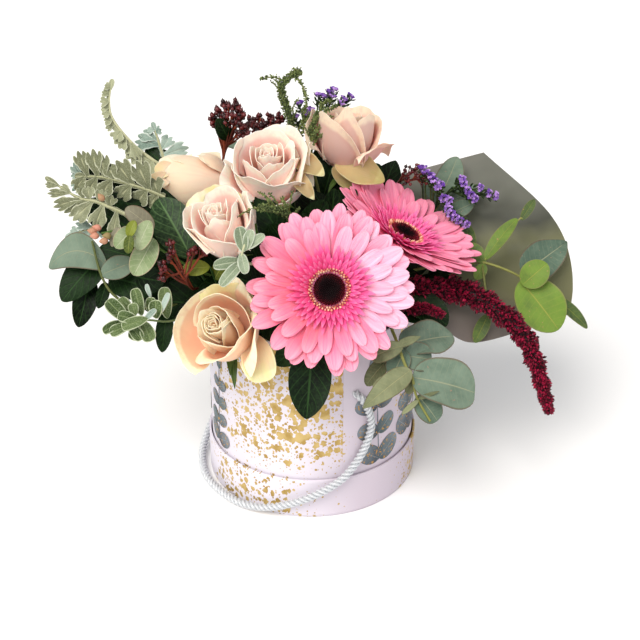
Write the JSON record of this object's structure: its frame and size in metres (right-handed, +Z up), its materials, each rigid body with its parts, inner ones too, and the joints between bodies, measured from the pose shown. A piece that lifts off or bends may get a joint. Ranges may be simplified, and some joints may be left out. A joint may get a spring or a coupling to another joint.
{
  "type": "flower hat box",
  "caption": "Round card hat box standing in its lid, with a rope handle, filled with gerberas, roses, berries and foliage in foam.",
  "frame": {"origin": "centre of the underside of the lid that the box stands in", "axes": "+Z up along the box's axis, -Y towards the arrangement's front"},
  "size_m": [0.3851, 0.2644, 0.2763],
  "materials": {
    "card": "satin printed card",
    "rope": "twisted satin cord",
    "liner": "translucent",
    "foam": "wet foam",
    "film": "frosted",
    "gerbera_petal": "soft petal",
    "gerbera_disc": "velvety",
    "rose_petal": "soft petal",
    "rose_petal_cream": "soft petal",
    "green_stem": "satin",
    "dark_leaf": "waxy",
    "blue_leaf": "powdery",
    "light_leaf": "satin",
    "silver_leaf": "felted",
    "pale_leaf": "satin",
    "berry": "satin",
    "statice": "papery",
    "amaranth": "velvety",
    "moss_green": "fine and dense"
  },
  "bodies": {
    "root": {"amaranth_long": "amaranth", "amaranth_short": "amaranth", "box_floor": "card", "box_wall": "card", "dusty_miller_left": "silver_leaf", "dusty_miller_top": "silver_leaf", "eucalyptus_back": "blue_leaf", "eucalyptus_left": "blue_leaf", "eucalyptus_low": "blue_leaf", "eucalyptus_right": "light_leaf", "eucalyptus_top_right": "blue_leaf", "filler_middle": "moss_green", "filler_side": "moss_green", "filler_top": "moss_green", "film_sheet": "film", "foam": "foam", "gerbera_back_disc": "gerbera_disc", "gerbera_back_petals": "gerbera_petal", "gerbera_back_stem": "green_stem", "gerbera_front_disc": "gerbera_disc", "gerbera_front_petals": "gerbera_petal", "gerbera_front_stem": "green_stem", "handle_cord": "rope", "handle_knot_back": "rope", "handle_knot_front": "rope", "hypericum": "pale_leaf", "laurel_back": "dark_leaf", "laurel_back_left": "dark_leaf", "laurel_back_right": "dark_leaf", "laurel_far_left": "dark_leaf", "laurel_front": "dark_leaf", "laurel_left": "dark_leaf", "laurel_middle": "dark_leaf", "laurel_right": "dark_leaf", "laurel_tall": "dark_leaf", "lid_band": "card", "lid_plate": "card", "liner": "liner", "olive_leaves": "light_leaf", "rose_left_bloom": "rose_petal_cream", "rose_left_stem": "green_stem", "rose_low_bloom": "rose_petal_cream", "rose_low_stem": "green_stem", "rose_mid_bloom": "rose_petal", "rose_mid_stem": "green_stem", "rose_right_bloom": "rose_petal", "rose_right_stem": "green_stem", "rose_top_bloom": "rose_petal", "rose_top_stem": "green_stem", "silver_sprig": "silver_leaf", "silver_tuft": "silver_leaf", "statice_right": "statice", "statice_top": "statice", "viburnum_back": "berry", "viburnum_left": "berry", "viburnum_right": "berry", "viburnum_top": "berry"}
  },
  "joints": []
}
